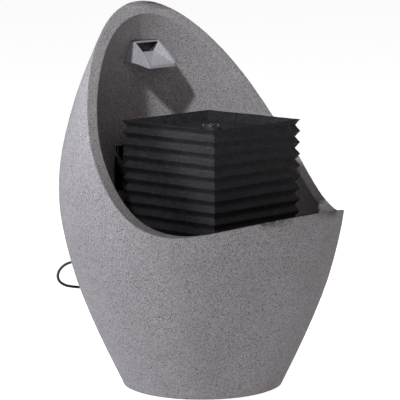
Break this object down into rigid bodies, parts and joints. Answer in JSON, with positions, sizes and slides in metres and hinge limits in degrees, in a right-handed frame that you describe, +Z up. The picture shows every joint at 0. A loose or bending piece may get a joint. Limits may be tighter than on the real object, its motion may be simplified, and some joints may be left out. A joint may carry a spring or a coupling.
{
  "type": "tabletop water fountain",
  "caption": "Tabletop fountain: egg-shaped stone-look shell cut open at the front, a square ribbed column with a dish and bubbler in its bowl, a wall spout above and a pump beneath.",
  "frame": {"origin": "centre of the base on the floor, on the egg's vertical axis", "axes": "+Z up along the egg's axis, the open front faces -Y, +X to the right seen from the front"},
  "size_m": [0.314, 0.3432, 0.4196],
  "materials": {
    "granite_resin": "cast stone-look resin, grey granite speckle, matte",
    "spout_resin": "cast resin, lighter grey, fine grain",
    "slate_resin": "cast resin, near-black with fine speckle, satin",
    "black_plastic": "moulded black, satin",
    "black_rubber": "soft black",
    "grey_plastic": "moulded grey",
    "white_ceramic": "smooth white",
    "clear_lens": "clear lens",
    "black_vinyl": "black hose",
    "screw_steel": "stainless",
    "blade_brass": "plated"
  },
  "bodies": {
    "base": {"shell": "granite_resin", "back_cover": "granite_resin", "spout": "spout_resin", "pump_body": "black_plastic", "tee": "black_plastic", "plug": "black_plastic", "floor_pad_1": "black_rubber", "floor_pad_2": "black_rubber", "floor_pad_3": "black_rubber", "floor_pad_4": "black_rubber", "suction_cup_1": "black_rubber", "suction_cup_2": "black_rubber", "suction_cup_3": "black_rubber", "suction_cup_4": "black_rubber", "pump_lead": "black_rubber", "cord_gland": "black_rubber", "cord": "black_rubber", "cord_coil": "black_rubber", "cord_tail": "black_rubber", "pump_shaft": "white_ceramic", "bubbler_hose": "black_vinyl", "spout_hose": "black_vinyl", "cover_screw_1": "screw_steel", "cover_screw_2": "screw_steel", "cover_screw_3": "screw_steel", "cover_screw_4": "screw_steel", "plug_blade_1": "blade_brass", "plug_blade_2": "blade_brass"},
    "column_body": {"column": "slate_resin", "nozzle": "black_plastic", "nozzle_nut": "black_plastic", "lamp_ring": "black_plastic", "lamp_1": "clear_lens", "lamp_2": "clear_lens", "lamp_3": "clear_lens", "lamp_4": "clear_lens", "lamp_lead": "black_rubber", "lamp_plug": "black_plastic"},
    "rotor": {"impeller": "white_ceramic", "pump_magnet": "grey_plastic"},
    "front_cover": {"pump_cover": "black_plastic"},
    "slider": {"flow_slider": "grey_plastic"}
  },
  "joints": [
    {"name": "column_lift", "type": "slide", "parent": "base", "child": "column_body", "axis": [0, 0, 1], "range_m": [0, 0.2]},
    {"name": "impeller_spin", "type": "hinge", "parent": "base", "child": "rotor", "pos_m": [0, -0.0144, 0.0431], "axis": [1, 0, 0], "continuous": true},
    {"name": "cover_slide", "type": "slide", "parent": "base", "child": "front_cover", "axis": [1, 0, 0], "range_m": [0, 0.02]},
    {"name": "flow_slide", "type": "slide", "parent": "front_cover", "child": "slider", "axis": [0, 0, 1], "range_m": [0, 0.008]}
  ]
}
